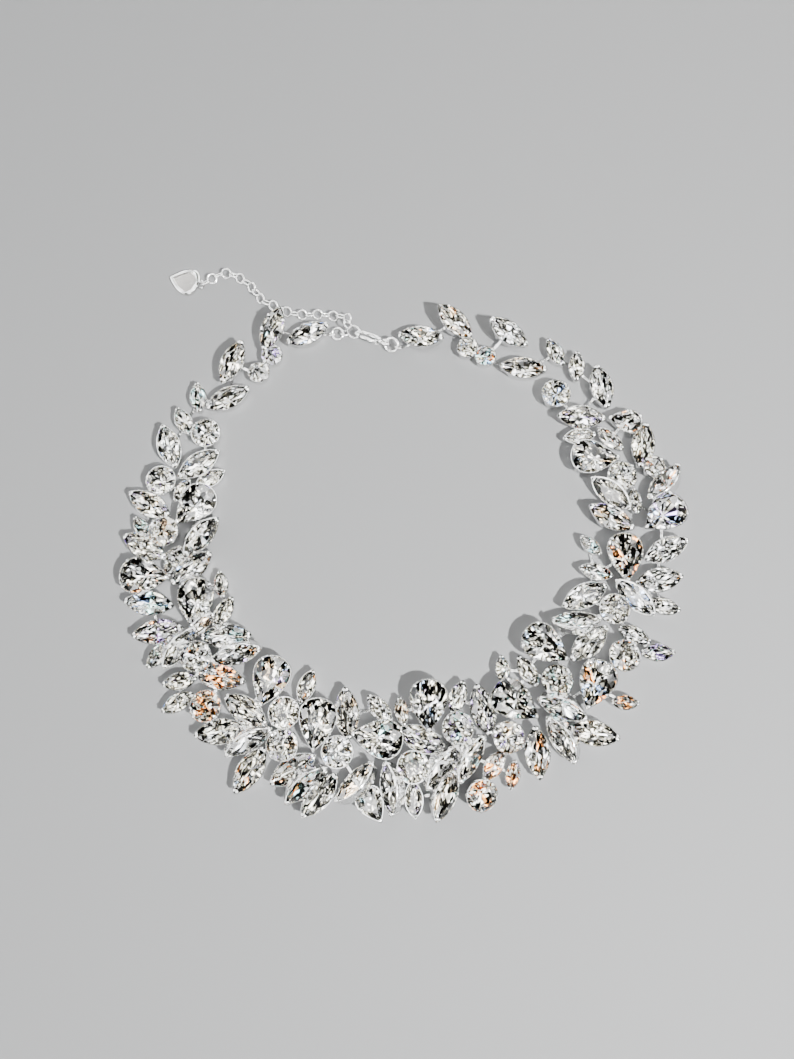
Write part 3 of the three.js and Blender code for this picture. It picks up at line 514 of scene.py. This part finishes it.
def clawParts(cut, degrees):
    size = cuts[cut]
    turn = math.radians(degrees)
    tall, crown = size["tall"], size["crown"]
    reach = setting["clawReach"]
    rim = rimPoint(cut, turn, 1, tall)
    ahead, behind = rimPoint(cut, turn + 0.06, 1, tall), rimPoint(cut, turn - 0.06, 1, tall)
    along = (ahead - behind).normalized()
    out = along.cross(Vector((0, 0, 1)))
    scale = min(1.0, size["wide"] / setting["fullClaw"])
    wide, thick = setting["clawWide"] * scale / 2, setting["clawThick"] * scale / 2
    sides = setting["clawSides"]
    # stations: outward offset, height, width factor, thickness factor
    stations = [
        (-0.28, tall * 0.45, 0.9, 1.0), (-0.1, tall * 0.8, 1.0, 1.0), (0.02, tall + 0.12, 1.0, 1.0),
        (-0.14, tall + 0.42, 0.95, 1.0), (-0.5 * reach, tall + 0.2 + crown * 0.42, 0.85, 0.95),
        (-reach, tall + 0.12 + crown * 0.62, 0.62, 0.8), (-1.22 * reach, tall + 0.05 + crown * 0.68, 0.2, 0.35),
    ]
    rings = []
    for index, (offset, height, wideShare, thickShare) in enumerate(stations):
        middle = Vector((rim.x, rim.y, 0)) + out * offset * scale + Vector((0, 0, height))
        ahead = stations[min(index + 1, len(stations) - 1)]
        behind = stations[max(index - 1, 0)]
        path = out * (ahead[0] - behind[0]) * scale + Vector((0, 0, ahead[1] - behind[1]))
        normal = along.cross(path.normalized())
        ring = []
        for step in range(sides):
            angle = 2 * math.pi * step / sides
            across = along * wide * wideShare * math.cos(angle)
            ring.append(middle + across - normal * thick * thickShare * math.sin(angle))
        rings.append(ring)
    return loftShape(rings)


# A claw, moved towards its setting's middle until it stands no higher than the solid model.
def lowClaw(cut, degrees, matrix):
    points, faces = clawParts(cut, degrees)
    while max((matrix @ point).z for point in points) > cadBox[1][2] / mm:
        degrees += setting["clawShift"] if degrees % 180 < 90 else -setting["clawShift"]
        points, faces = clawParts(cut, degrees)
    return points, faces


dice = random.Random(crystal["seed"])
looseNames = {
    "pear": "pear_stone", "smallPear": "small_pear_stone", "round": "round_stone", "navette": "navette_stone",
}
looseCount = {}
wires = {"wire": 0.34, "apart": 0.2, "height": 0.5}  # a pair side by side from setting to setting
settings = {"left": Shape(), "right": Shape()}
fixedCrystals = {"left": Shape(), "right": Shape()}
seats = []
for stretch, rows in chart.items():
    for row in rows:
        cut, at, loose = row[0], row[1], row[-1]
        side = "left" if at < 0 else "right"
        matrix = seatOf(row)
        seats.append({"side": side, "stretch": stretch, "foot": matrix @ Vector((0, 0, wires["height"]))})
        points, faces, finish, tints = crystalParts(cut, dice)
        if loose:
            looseCount[cut] = looseCount.get(cut, 0) + 1
            node = f"{looseNames[cut]}_{looseCount[cut]}"
            gem = Shape()
            gem.add(points, faces, finish, matrix, tints)
            makePiece(f"crystal_{node}", gem, [glass, foil], "necklace", [node])
        else:
            fixedCrystals[side].add(points, faces, finish, matrix, tints)
        settings[side].add(*cupParts(cut), matrix=matrix)
        for degrees in clawTurns[cut]:
            settings[side].add(*lowClaw(cut, degrees, matrix), matrix=matrix)
print("crystals and settings ready", len(seats))


# Round wire, swept along a line of points.
def sweepParts(path, radii, sides=8, closed=False, flat=1.0, side=None):
    count = len(path)
    points, rings = [], []
    normal = None
    for index, here in enumerate(path):
        ahead = path[(index + 1) % count] if closed else path[min(index + 1, count - 1)]
        behind = path[(index - 1) % count] if closed else path[max(index - 1, 0)]
        way = (ahead - behind).normalized()
        if side is not None:
            normal = side
        elif normal is None:
            normal = way.cross(Vector((0, 0, 1)) if abs(way.z) < 0.9 else Vector((1, 0, 0))).normalized()
        else:
            normal = (normal - way * normal.dot(way)).normalized()
        other = way.cross(normal)
        radius = radii[index] if isinstance(radii, list) else radii
        ring = []
        for step in range(sides):
            angle = 2 * math.pi * step / sides
            ring.append(here + normal * radius * flat * math.cos(angle) + other * radius * math.sin(angle))
        rings.append(list(range(len(points), len(points) + sides)))
        points += ring
    if closed:
        return points, loftFaces(rings + [rings[0]], ends=False)
    return points, loftFaces(rings)


def roundPath(reach, steps):
    turns = [2 * math.pi * step / steps for step in range(steps)]
    return [Vector((reach * math.cos(turn), reach * math.sin(turn), 0)) for turn in turns]


def ringReach(ring):
    return (ring["outer"] - ring["wire"]) / 2


def ringParts(ring, steps=26, sides=10):
    return sweepParts(roundPath(ringReach(ring), steps), ring["wire"] / 2, sides, closed=True)


def bindingPairs(sideSeats):  # each setting to the nearest one that is already joined
    pairs, joined = [], [sideSeats[0]]
    waiting = list(sideSeats[1:])
    while waiting:
        choices = [
            ((one["foot"] - other["foot"]).length, held, free)
            for held, one in enumerate(joined) for free, other in enumerate(waiting)
        ]
        held, free = min(choices)[1:]
        pairs.append((joined[held], waiting[free]))
        joined.append(waiting.pop(free))
    return pairs


for side in ("left", "right"):
    sideSeats = [seat for seat in seats if seat["side"] == side]
    for one, other in bindingPairs(sideSeats):
        way = (other["foot"] - one["foot"]).normalized()
        across = way.cross(Vector((0, 0, 1))).normalized() * wires["apart"]
        for offset in (across, -across):
            strand = [one["foot"] + offset, other["foot"] + offset]
            settings[side].add(*sweepParts(strand, wires["wire"] / 2))
print("wires ready")

# Clasp, its rings and the extension chain, as in the solid model.
clasp = {
    "eyeAt": -176.6, "eyeAcross": 0.043, "heading": 159.5, "roll": 40, "height": 2.3,
    "eyeOuter": 3.3, "eyeHole": 1.9, "eyeFlat": 1.5, "eyeSteps": 28,
    "length": 10.6, "wide": 4.6, "thick": 1.3, "wall": 1.1, "neck": 1.9, "pivot": 0.27, "tip": 0.76,
    "hookFrom": 145, "hookTo": 410, "hookSteps": 40, "taperFrom": 0.72,  # degrees round the hook, share of it
    "leverThick": 0.85, "leverDepth": 0.8, "leverInset": 0.1, "leverSides": 14, "leverRound": 0.75,
    "cheekAt": 0.65, "cheekFlat": 0.2, "pin": 0.4, "pinLong": 1.6, "sides": 12,
}
rings = {
    "jump": {"outer": 5, "wire": 0.8, "roll": -40}, "strandLoop": {"outer": 3, "wire": 0.6, "roll": -50},
    "hookLink": {"outer": 4.6, "wire": 0.55}, "tieLink": {"outer": 3.5, "wire": 0.55, "roll": 35},
    "endRing": {"outer": 4.2, "wire": 0.65, "roll": -25}, "endLoop": {"outer": 3, "wire": 0.6, "roll": 50},
    "chainLink": {"outer": 3.5, "wire": 0.55, "roll": 45}, "tagEar": {"outer": 3, "wire": 0.7},
}
links = {"gap": 0.3, "hookPlay": 0.5, "bite": 0.12, "tieTurn": -27, "chainTurn": 35, "droop": 3}
chainRoute = [
    (0, 0), (-0.3, 2.7), (-4.6, 4.1), (-9.9, 4.7), (-15.2, 4.6), (-19.7, 5.6), (-24.1, 7.8), (-27.7, 9.6),
    (-30.1, 12.6), (-32.4, 15.4), (-35.4, 17.6), (-39.4, 19.4), (-42.8, 18.8), (-45.6, 16.8), (-48.2, 15.4),
]


def ringPlace(middle, way, roll):
    turn = Matrix.Rotation(way, 4, "Z") @ Matrix.Rotation(math.radians(roll), 4, "X")
    return Matrix.Translation(middle) @ turn


def linkedDistance(held, following):  # between the middles of two rings whose wires touch inside
    return ringReach(held) + ringReach(following) - (held["wire"] + following["wire"]) / 2


def linkedMiddle(start, held, following, way, height):
    distance = linkedDistance(held, following) - links["gap"]
    return Vector((start.x + distance * math.cos(way), start.y + distance * math.sin(way), height))


def wayBetween(start, end):
    return math.atan2(end.y - start.y, end.x - start.x)


eye = bandPlace(clasp["eyeAt"], clasp["eyeAcross"])
claspWay = math.radians(clasp["heading"])
claspMatrix = ringPlace(Vector((eye.x, eye.y, clasp["height"])), claspWay, clasp["roll"])
seatFoot = {name: [seat["foot"] for seat in seats if seat["stretch"] == name] for name in chart}

jumpMiddle = claspMatrix @ Vector((-ringReach(rings["jump"]), 0, 0))
strandWay = claspWay - math.pi
strandMiddle = linkedMiddle(jumpMiddle, rings["jump"], rings["strandLoop"], strandWay, jumpMiddle.z)
hookLink = rings["hookLink"]
wireAt = clasp["length"] - clasp["wall"] - links["hookPlay"] - hookLink["wire"] / 2
hookMatrix = claspMatrix @ Matrix.Translation((wireAt + ringReach(hookLink), 0, 0))
hookMatrix = hookMatrix @ Matrix.Rotation(math.pi / 2, 4, "X")


def heldByHookLink(following, degrees):
    distance = linkedDistance(hookLink, following) + links["bite"]
    turn = math.radians(degrees)
    return hookMatrix @ Vector((distance * math.cos(turn), distance * math.sin(turn), 0))


tieMiddle = heldByHookLink(rings["tieLink"], links["tieTurn"])
tieWay = wayBetween(hookMatrix.translation, tieMiddle)
endSeat = seatFoot["topLeft"][0]
endWay = wayBetween(tieMiddle, endSeat)
endMiddle = linkedMiddle(tieMiddle, rings["tieLink"], rings["endRing"], endWay, tieMiddle.z)
endLoopMiddle = linkedMiddle(endMiddle, rings["endRing"], rings["endLoop"], endWay, tieMiddle.z)


def curvedRoute(route, steps=60):  # centripetal curve through the route's points
    stops = [Vector((x, y, 0)) for x, y in route]
    stops = [stops[0] * 2 - stops[1]] + stops + [stops[-1] * 2 - stops[-2]]
    curve = []
    for index in range(1, len(stops) - 2):
        before, start, end, after = stops[index - 1:index + 3]
        gaps = [(b - a).length ** 0.5 for a, b in ((before, start), (start, end), (end, after))]
        leave = (start - before) / gaps[0] - (end - before) / (gaps[0] + gaps[1]) + (end - start) / gaps[1]
        reach = (end - start) / gaps[1] - (after - start) / (gaps[1] + gaps[2]) + (after - end) / gaps[2]
        leave, reach = leave * gaps[1], reach * gaps[1]
        for step in range(steps):
            t = step / steps
            square = -3 * start + 3 * end - 2 * leave - reach
            cube = 2 * start - 2 * end + leave + reach
            curve.append(start + leave * t + square * t * t + cube * t * t * t)
    curve.append(stops[-2])
    return curve


def alongRoute(curve, distance):
    for here, after in zip(curve, curve[1:]):
        step = (after - here).length
        if distance <= step:
            return here + (after - here) * (distance / step), (after - here).normalized()
        distance -= step
    return curve[-1], (curve[-1] - curve[-2]).normalized()


chainLink = rings["chainLink"]
firstLink = heldByHookLink(chainLink, links["chainTurn"])
linkHeight = ringReach(chainLink) * math.sin(math.radians(chainLink["roll"])) + chainLink["wire"] / 2
linkStep = 2 * ringReach(chainLink) - chainLink["wire"] + links["bite"]
route = curvedRoute(chainRoute)
routeLength = sum((b - a).length for a, b in zip(route, route[1:]))
linkCount = int(routeLength // linkStep) + 1

chain = Shape()
chain.add(*ringParts(hookLink), matrix=hookMatrix)
chain.add(*ringParts(rings["tieLink"]), matrix=ringPlace(tieMiddle, tieWay, rings["tieLink"]["roll"]))
for number in range(linkCount):
    spot, heading = alongRoute(route, number * linkStep)
    height = linkHeight + (firstLink.z - linkHeight) * max(0, 1 - number / links["droop"])
    lastMiddle = Vector((firstLink.x + spot.x, firstLink.y + spot.y, height))
    lastWay = math.atan2(heading.y, heading.x)
    lastRoll = chainLink["roll"] if number % 2 == 0 else -chainLink["roll"]
    chain.add(*ringParts(chainLink), matrix=ringPlace(lastMiddle, lastWay, lastRoll))
makePiece("extensionChain", chain, [wireSilver], "necklace", ["extension_chain"], 40)


def singleRing(name, ring, matrix, node):
    shape = Shape()
    shape.add(*ringParts(ring, 36, 12), matrix=matrix)
    makePiece(name, shape, [wireSilver], "necklace", [node], 40)


singleRing("jumpRing", rings["jump"], ringPlace(jumpMiddle, claspWay, rings["jump"]["roll"]), "jump_ring")
singleRing("endRing", rings["endRing"], ringPlace(endMiddle, endWay, rings["endRing"]["roll"]), "end_ring")
for side, ring, middle, way, target in (
    ("right", rings["strandLoop"], strandMiddle, strandWay, seatFoot["topRight"][0]),
    ("left", rings["endLoop"], endLoopMiddle, endWay, endSeat),
):
    settings[side].add(*ringParts(ring), matrix=ringPlace(middle, way, ring["roll"]))
    tail = middle + Vector((ringReach(ring) * math.cos(way), ringReach(ring) * math.sin(way), 0))
    settings[side].add(*sweepParts([tail, target], ring["wire"] / 2))
print("rings and chain ready", linkCount)


# In the clasp's own frame: x from the eye to the nose, y towards the lever, z across.
flatSide = Vector((0, 0, 1))
leverPivot = Vector((clasp["length"] * clasp["pivot"], 0, 0))
leverPivot.y = (clasp["wide"] - clasp["leverThick"]) / 2 - clasp["leverInset"]


def hookParts():
    half = (clasp["length"] - clasp["neck"] + clasp["wall"]) / 2
    middle = clasp["length"] - half
    reachX, reachY = half - clasp["wall"] / 2, clasp["wide"] / 2 - clasp["wall"] / 2
    path, radii = [], []
    for step in range(clasp["hookSteps"] + 1):
        share = step / clasp["hookSteps"]
        angle = math.radians(clasp["hookFrom"] + share * (clasp["hookTo"] - clasp["hookFrom"]))
        path.append(Vector((middle + reachX * math.cos(angle), reachY * math.sin(angle), 0)))
        radii.append(clasp["wall"] / 2 * (1 - max(0.0, share - clasp["taperFrom"])))
    return sweepParts(path, radii, clasp["sides"], flat=clasp["thick"] / clasp["wall"], side=flatSide)


def claspEyeParts():
    wire = (clasp["eyeOuter"] - clasp["eyeHole"]) / 2
    path = roundPath((clasp["eyeOuter"] - wire) / 2, clasp["eyeSteps"])
    return sweepParts(path, wire / 2, clasp["sides"], closed=True, flat=clasp["eyeFlat"], side=flatSide)


def cheekParts(level):  # beside the lever, from the hook's end to the pin
    spots = ((-1.1, -1.1), (-0.5, -0.5), (0, 0), (0.28, 0.2))
    path = [leverPivot + Vector((x, y, level)) for x, y in spots]
    return sweepParts(path, [0.4, 0.44, 0.4, 0.16], clasp["sides"], flat=clasp["cheekFlat"], side=flatSide)


def leverParts():
    pivot, tip = leverPivot.x, clasp["length"] * clasp["tip"]
    half, deep = clasp["leverThick"] / 2, clasp["thick"] * clasp["leverDepth"] / 2
    sides, power = clasp["leverSides"], clasp["leverRound"]
    # stations: distance along, extra height on the outer side, height factor, depth factor
    stations = [
        (pivot - half, 0, 0.35, 0.7), (pivot - half * 0.8, 0, 0.75, 0.92), (pivot, 0, 1.0, 1.0),
        (pivot + 0.7, 0, 1.0, 1.0), (pivot + 1.0, 0.35, 1.0, 1.0), (pivot + 1.35, 0.58, 1.0, 1.0),
        (pivot + 1.7, 0.58, 1.0, 1.0), (pivot + 2.1, 0.3, 0.98, 1.0), (pivot + 2.6, 0, 0.95, 0.98),
        (tip - 0.8, 0, 0.8, 0.9), (tip - 0.15, 0, 0.66, 0.82), (tip, 0, 0.4, 0.6),
    ]
    rings = []
    for x, extra, heightShare, depthShare in stations:
        ring = []
        for step in range(sides):
            angle = 2 * math.pi * step / sides
            up, out = math.cos(angle), math.sin(angle)
            up, out = math.copysign(abs(up) ** power, up), math.copysign(abs(out) ** power, out)
            top = half * heightShare + (extra if up > 0 else 0)
            ring.append(Vector((x, leverPivot.y + up * top, out * deep * depthShare)))
        rings.append(ring)
    return loftShape(rings)


claspBody = Shape()
claspBody.add(*hookParts(), matrix=claspMatrix)
claspBody.add(*claspEyeParts(), matrix=claspMatrix)
for level in (-clasp["cheekAt"], clasp["cheekAt"]):
    claspBody.add(*cheekParts(level), matrix=claspMatrix)
pinEnd = Vector((0, 0, clasp["pinLong"] / 2))
pin = sweepParts([leverPivot - pinEnd, leverPivot + pinEnd], clasp["pin"] / 2, clasp["sides"])
claspBody.add(*pin, matrix=claspMatrix)
makePiece("claspBody", claspBody, [claspSilver], "necklace", ["clasp_body"], 40)
lever = Shape()
lever.add(*leverParts(), matrix=claspMatrix)
makePiece("claspLever", lever, [claspSilver], "lever", ["clasp_lever"], 40)
print("clasp ready")

# Tag: a drop with a rounded rim and a satin face.
tagWay = math.radians(tag["heading"])
earMiddle = linkedMiddle(lastMiddle, chainLink, rings["tagEar"], lastWay, linkHeight)
tagReach = ringReach(rings["tagEar"]) + tag["long"] / 2 - tag["bite"]


def tagParts():
    thick, rim = tag["thick"], tag["rim"]
    # levels: inset from the outline, height
    levels = [
        (0.35, 0.0), (0.1, 0.06), (0.0, 0.3), (0.0, thick - 0.4), (0.12, thick - 0.12), (0.35, thick),
        (rim - 0.3, thick), (rim - 0.08, thick - 0.1), (rim, thick - 0.35), (rim + 0.1, thick - tag["recess"]),
    ]
    rings = []
    for inset, height in levels:
        ring = []
        for step in range(tag["steps"]):
            along, side = outlineAt("pear", 2 * math.pi * step / tag["steps"])
            ring.append(Vector((along * (tag["long"] / 2 - inset), side * (tag["wide"] / 2 - inset), height)))
        rings.append(ring)
    points, faces = loftShape(rings)
    return points, faces, [0] * (len(faces) - 1) + [1]


tagShape = Shape()
tagPlace = Vector((earMiddle.x + tagReach * math.cos(tagWay), earMiddle.y + tagReach * math.sin(tagWay), 0))
tagShape.add(*tagParts(), matrix=ringPlace(tagPlace, tagWay, 0))
earRoll = -chainLink["roll"] if lastRoll > 0 else chainLink["roll"]
tagShape.add(*ringParts(rings["tagEar"]), matrix=ringPlace(earMiddle, lastWay, earRoll))
makePiece("endTag", tagShape, [claspSilver, tagSatin], "necklace", ["end_tag"], 35)

for side in ("left", "right"):
    node = f"{side}_spray"
    makePiece(f"{side}Settings", settings[side], [settingSilver], "necklace", [node], 38)
    makePiece(f"{side}Crystals", fixedCrystals[side], [glass, foil], "necklace", [node])
print("tag and sprays ready")

# Floor, lights, surroundings and camera.
floorLook = {"size": 9.0, "under": 0.0001, "color": (0.3, 0.303, 0.305), "rough": 0.6, "gloss": 0.1}
floorMesh = bpy.data.meshes.new("paleFloor")
edge = floorLook["size"] / 2
floorCorners = [(-edge, -edge), (edge, -edge), (edge, edge), (-edge, edge)]
floorMesh.from_pydata([(x, y, -floorLook["under"]) for x, y in floorCorners], [], [(0, 1, 2, 3)])
floor = bpy.data.objects.new("paleFloor", floorMesh)
bpy.context.scene.collection.objects.link(floor)
floorMaterial, _, _, floorShader = newMaterial("paleFloorCard")
floorShader.inputs["Base Color"].default_value = (*floorLook["color"], 1)
floorShader.inputs["Roughness"].default_value = floorLook["rough"]
floorShader.inputs["Specular IOR Level"].default_value = floorLook["gloss"]
floorMesh.materials.append(floorMaterial)


softLights = {  # each aims at the middle of the floor; the key throws the crisp shadows
    "keyLight": {"place": (0.36, -0.34, 0.62), "size": 0.045, "power": 17, "color": (1, 1, 1)},
    "fillLight": {"place": (-0.7, 0.3, 0.6), "size": 0.5, "power": 2, "color": (0.92, 0.96, 1.0)},
    "rearLight": {"place": (0.25, 0.7, 0.5), "size": 0.3, "power": 2, "color": (1.0, 0.97, 0.92)},
}
for name, look in softLights.items():
    lamp = bpy.data.lights.new(name, "AREA")
    lamp.shape = "DISK"
    lamp.size = look["size"]
    lamp.energy = look["power"]
    lamp.color = look["color"]
    holder = bpy.data.objects.new(name, lamp)
    bpy.context.scene.collection.objects.link(holder)
    holder.location = look["place"]
    holder.rotation_euler = (-Vector(look["place"])).to_track_quat("-Z", "Y").to_euler()

# Bright and dark panels show in the crystals and the metal only, everything else gets an even pale sky.
studioLook = {
    "panelScale": 5.0, "panelStrength": 17.0, "skyStrength": 0.5,
    "panelShades": [
        (0.38, (0.0005, 0.0005, 0.0005)), (0.46, (0.0005, 0.0005, 0.0004)), (0.475, (0.002, 0.0019, 0.0016)),
        (0.52, (0.0045, 0.0043, 0.0036)), (0.535, (0.014, 0.0137, 0.0115)), (0.575, (0.022, 0.0225, 0.023)),
        (0.59, (0.08, 0.078, 0.068)), (0.63, (0.22, 0.225, 0.23)), (0.68, (1.0, 1.0, 1.0)),
    ],
}
studio = bpy.data.worlds.new("studio")
bpy.context.scene.world = studio
studio.use_nodes = True
studioNodes, studioLinks = studio.node_tree.nodes, studio.node_tree.links
backdrop = studioNodes["Background"]
direction = studioNodes.new("ShaderNodeTexCoord")
panels = addNode(studioNodes, "ShaderNodeTexNoise", Scale=studioLook["panelScale"], Detail=0.0)
studioLinks.new(direction.outputs["Generated"], panels.inputs["Vector"])
shades = studioNodes.new("ShaderNodeValToRGB")
ramp = shades.color_ramp.elements
darkest, *between, brightest = studioLook["panelShades"]
for element, (position, color) in zip(ramp, (darkest, brightest)):
    element.position = position
    element.color = (*color, 1)
for position, color in between:
    ramp.new(position).color = (*color, 1)
studioLinks.new(panels.outputs["Fac"], shades.inputs["Fac"])
studioLinks.new(shades.outputs["Color"], backdrop.inputs["Color"])
backdrop.inputs["Strength"].default_value = studioLook["panelStrength"]
studio.cycles.sampling_method = "NONE"  # so that the panels light no floor
evenSky = addNode(studioNodes, "ShaderNodeBackground", Color=(1, 1, 1, 1), Strength=studioLook["skyStrength"])
rayKind = studioNodes.new("ShaderNodeLightPath")
mirrored = studioNodes.new("ShaderNodeMath")
mirrored.operation = "MAXIMUM"
studioLinks.new(rayKind.outputs["Is Glossy Ray"], mirrored.inputs[0])
studioLinks.new(rayKind.outputs["Is Transmission Ray"], mirrored.inputs[1])
skyMix = studioNodes.new("ShaderNodeMixShader")
studioLinks.new(mirrored.outputs[0], skyMix.inputs[0])
studioLinks.new(evenSky.outputs[0], skyMix.inputs[1])
studioLinks.new(backdrop.outputs[0], skyMix.inputs[2])
studioLinks.new(skyMix.outputs[0], studioNodes["World Output"].inputs["Surface"])

# Camera: a phone held over the front of the piece, 13.7 degrees off the vertical.
shot = {
    "lens": 27.03, "sensor": 36, "nearest": 0.01,
    "aim": (0.0005, -0.0070, 0.0), "back": 0.05705, "high": 0.23405,
}
cameraData = bpy.data.cameras.new("camera")
camera = bpy.data.objects.new("camera", cameraData)
bpy.context.scene.collection.objects.link(camera)
cameraData.lens = shot["lens"]
cameraData.sensor_width = shot["sensor"]
cameraData.clip_start = shot["nearest"]
aim = neckCentre + Vector(shot["aim"])
camera.location = aim + Vector((0, -shot["back"], shot["high"]))
camera.rotation_euler = (aim - camera.location).to_track_quat("-Z", "Y").to_euler()
bpy.context.scene.camera = camera
print("stage ready")
